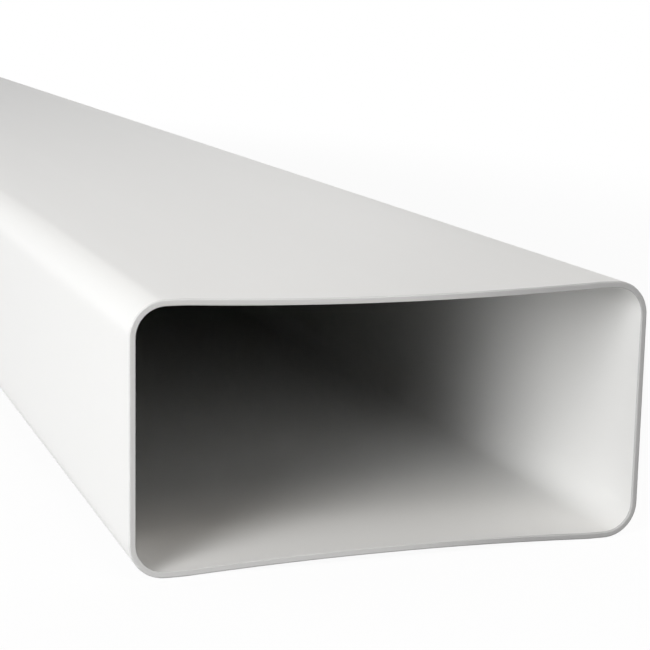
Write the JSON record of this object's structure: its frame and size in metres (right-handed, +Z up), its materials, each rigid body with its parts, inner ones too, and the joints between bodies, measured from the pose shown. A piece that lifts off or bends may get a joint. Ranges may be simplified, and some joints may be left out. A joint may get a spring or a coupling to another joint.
{
  "type": "flat channel duct",
  "caption": "Straight length of white flat channel ventilation duct: a rectangular tube with round corners, an even thin wall and square-sawn open ends.",
  "frame": {"origin": "midway along the duct and midway across it, at the level of the surface that it lies on", "axes": "+X across the wide walls, +Y along the air path away from the front end, +Z up from the wide wall that it lies on"},
  "size_m": [0.11, 1, 0.055],
  "materials": {
    "white_pvc": "satin white rigid PVC as it leaves the extrusion die, finely sawn at the ends"
  },
  "bodies": {
    "root": {"duct": "white_pvc"}
  },
  "joints": []
}
